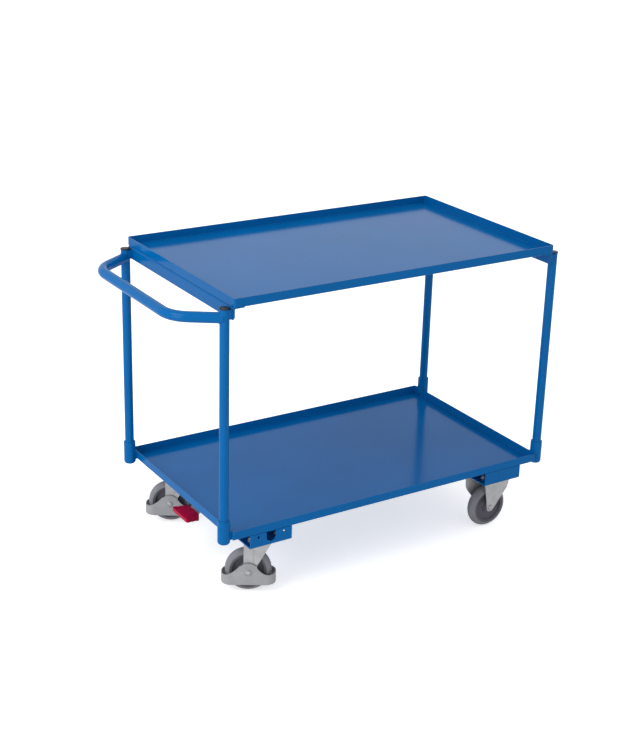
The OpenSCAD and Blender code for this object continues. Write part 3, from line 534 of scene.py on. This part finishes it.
# ---------------------------------------------------------------- castor plates
flanges, threads = [], []
nut_top = BRACKET_FLOOR + NUT_H
for x in (SWIVEL_X, FIXED_X):
    for sy in BOTH:
        for sign_x in BOTH:
            for sign_y in BOTH:
                hole = at_cart(x + sign_x * HOLE_X, sy * CASTOR_Y + sign_y * HOLE_Y, 0.0)
                m = Matrix.Translation(hole)
                for low, high in ((PLATE_Z - WASHER_T, PLATE_Z),
                                  (BRACKET_FLOOR, BRACKET_FLOOR + WASHER_T)):
                    flanges.append(lathe(ring(WASHER_IN, WASHER_OUT, low, high), m, 40))
                flanges.append(head_dome(m @ Matrix.Translation((0, 0, PLATE_Z - HEAD_H)), 32))
                threads.append(lathe(thread(BOLT_R, nut_top, nut_top + THREAD_L), m, 32))
piece("plate_washers", flanges, "frame", "zinc_steel")
piece("plate_bolt_threads", threads, "frame", "zinc_steel")

# ---------------------------------------------------------------- studs of the upper tray
studs = []
for sx in BOTH:
    for i in (-1, 0, 1):
        m = Matrix.Translation(at_cart(sx * STUD_X, i * STUD_Y, 0.0))
        studs.append(lathe(ring(WASHER_IN, WASHER_OUT, RAIL_UNDER - WASHER_T, RAIL_UNDER), m, 40))
        studs.append(lathe(thread(BOLT_R, *STUD_THREAD_Z), m, 32))
piece("stud_washers", studs, "frame", "zinc_steel")

# ---------------------------------------------------------------- swivel heads
# The pressed bead under the plate, with depths below it, and the dust seal of the ball race
PRESSED_BEAD = ((0.0325, 0.0), (0.0330, 0.0010), (0.0345, 0.0015), (0.0360, 0.0010), (0.0366, 0.0))
RACE_SEAL = ((0.0284, 0.1563), (0.0304, 0.1566), (0.0308, 0.1572), (0.0304, 0.1577),
             (0.0284, 0.1579))

cups = []
for row, sy in ROWS:
    m = Matrix.Translation(at_cart(SWIVEL_X, sy * CASTOR_Y, 0.0))
    cups.append(lathe([(r, PLATE_Z - deep) for r, deep in PRESSED_BEAD], m))
    piece("race_seal_" + row, [lathe(RACE_SEAL, m)], "swivel_" + row, "cap_plastic")
piece("plate_beads", cups, "frame", "zinc_steel")

# ---------------------------------------------------------------- tube caps
CAP_DOME_H, CAP_DOME_SUNK = 0.0012, 0.0001

caps = []
for sx in BOTH:
    for sy in BOTH:
        m = Matrix.Translation(at_cart(sx * UPRIGHT_X, sy * UPRIGHT_Y, 0.0))
        caps.append(lathe(dome(CAP_R, CAP_TOP - CAP_DOME_SUNK, CAP_DOME_H), m, 64))
piece("cap_domes", caps, "frame", "cap_plastic")

# ---------------------------------------------------------------- rolled lower lip of the guards
GUARD_L, GUARD_W, GUARD_CORNER_R = 0.073, 0.0305, 0.026  # Halves of its length and width
GUARD_AHEAD, LIP_Z, LIP_R, LIP_INSET = 0.001, 0.0275, 0.0014, 0.00125
CORNER_STEPS = 18

for row, _ in ROWS:
    wheel = joints[row + "_left_wheel"]
    lateral = Vector(wheel["axis"])
    ahead = lateral.cross(UP)
    centre = Vector(wheel["pos_m"])
    centre.z = LIP_Z
    path, outs = [], []
    for cu, cw, start in ((1, 1, 0), (-1, 1, 90), (-1, -1, 180), (1, -1, 270)):
        mid = (centre + ahead * (GUARD_AHEAD + cu * (GUARD_L - GUARD_CORNER_R))
               + lateral * (cw * (GUARD_W - GUARD_CORNER_R)))
        for i in range(CORNER_STEPS + 1):
            t = math.radians(start + 90 / CORNER_STEPS * i)
            d = ahead * math.cos(t) + lateral * math.sin(t)
            path.append(mid + d * (GUARD_CORNER_R - LIP_INSET))
            outs.append(d)
    lip = bead(path, outs, LIP_R, ripple=0.0, closed=True, sides=12)
    piece("guard_lip_" + row, [lip], "swivel_" + row, "guard_plastic")

# ---------------------------------------------------------------- grip ribs of the brake pedal
PEDAL_TOP, PEDAL_OUT = 0.151, -0.502
PEDAL_W, PEDAL_NARROWS, PEDAL_DEPTH = 0.043, 0.009, 0.045  # Half its width, and how it tapers
RIB_COUNT, RIB_FIRST, RIB_STEP = 5, 0.0065, 0.0080
RIB_R, RIB_SUNK, RIB_END = 0.0016, 0.0008, 0.0075

ribs = []
for i in range(RIB_COUNT):
    deep = RIB_FIRST + RIB_STEP * i
    x, z = PEDAL_OUT + deep, PEDAL_TOP - RIB_SUNK
    reach = PEDAL_W - PEDAL_NARROWS * deep / PEDAL_DEPTH - RIB_END
    path = line(at_cart(x, -reach, z), at_cart(x, reach, z), 0.002)
    ribs.append(bead(path, [UP] * len(path), RIB_R, ripple=0.0, sides=12))
piece("pedal_ribs", ribs, "brake", "pedal_plastic")

# ---------------------------------------------------------------- weld beads round the sockets
SOCKET_BEAD_R, SOCKET_BEAD_OFF, SOCKET_STEPS = 0.0013, 0.0004, 110

spokes = [Vector((math.cos(TAU * i / SOCKET_STEPS), math.sin(TAU * i / SOCKET_STEPS), 0.0))
          for i in range(SOCKET_STEPS)]
for column, sx in (("left", -1), ("right", 1)):
    for row, sy in ROWS:
        c = at_cart(sx * UPRIGHT_X, sy * UPRIGHT_Y, SOCKET_TOP)
        path = [c + d * (TUBE_R + SOCKET_BEAD_OFF) for d in spokes]
        seam = bead(path, [d + UP for d in spokes], SOCKET_BEAD_R, closed=True)
        piece("weld_socket_%s_%s" % (row, column), [seam], "frame", "blue_paint")

# ---------------------------------------------------------------- weld beads where the handle ends
# The seam lies on both tubes: on the handle's circle, as deep as the upright's round side
HANDLE_BEAD_R, HANDLE_BEAD_OFF, HANDLE_STEPS = 0.0015, 0.0005, 150
SEAM_WIDTH, SEAM_SHARE = 0.0135, 0.985
SEAM_LEAN = 0.4  # How far the bead leans along the handle

for row, sy in ROWS:
    axis = Vector((-math.cos(HANDLE_ANGLE), -sy * math.sin(HANDLE_ANGLE), 0.0))
    side = Vector((-axis.y, axis.x, 0.0))
    base = at_cart(-UPRIGHT_X, sy * UPRIGHT_Y, HANDLE_Z)
    path, outs = [], []
    for i in range(HANDLE_STEPS):
        t = TAU * i / HANDLE_STEPS
        s, h = HANDLE_R * math.cos(t), HANDLE_R * math.sin(t)
        depth = math.sqrt(TUBE_R ** 2 - min(abs(s), TUBE_R * SEAM_SHARE) ** 2)
        across = max(min(s, SEAM_WIDTH), -SEAM_WIDTH)
        path.append(base + axis * (depth + HANDLE_BEAD_OFF) + side * across + UP * h)
        outs.append(side * math.cos(t) + UP * math.sin(t) + axis * SEAM_LEAN)
    seam = bead(path, outs, HANDLE_BEAD_R, closed=True)
    piece("weld_handle_" + row, [seam], "frame", "blue_paint")

# ---------------------------------------------------------------- weld stitches of the brackets
BRACKET_XS = (-0.386, 0.382)
BRACKET_WALLS = (0.1598, 0.2958)
STITCH_PITCH, STITCH_HALF, STITCH_R, STITCH_SUNK = 0.043, 0.011, 0.0020, 0.0003

stitches = []
for x in BRACKET_XS:
    for sy in BOTH:
        for wall in BRACKET_WALLS:
            for k in (-1, 0, 1):
                y, z, mid = sy * wall, TRAY_Z - STITCH_SUNK, x + STITCH_PITCH * k
                path = line(at_cart(mid - STITCH_HALF, y, z), at_cart(mid + STITCH_HALF, y, z))
                stitches.append(bead(path, [Vector((0, -sy, -1))] * len(path), STITCH_R))
piece("weld_bracket_stitches", stitches, "frame", "blue_paint")
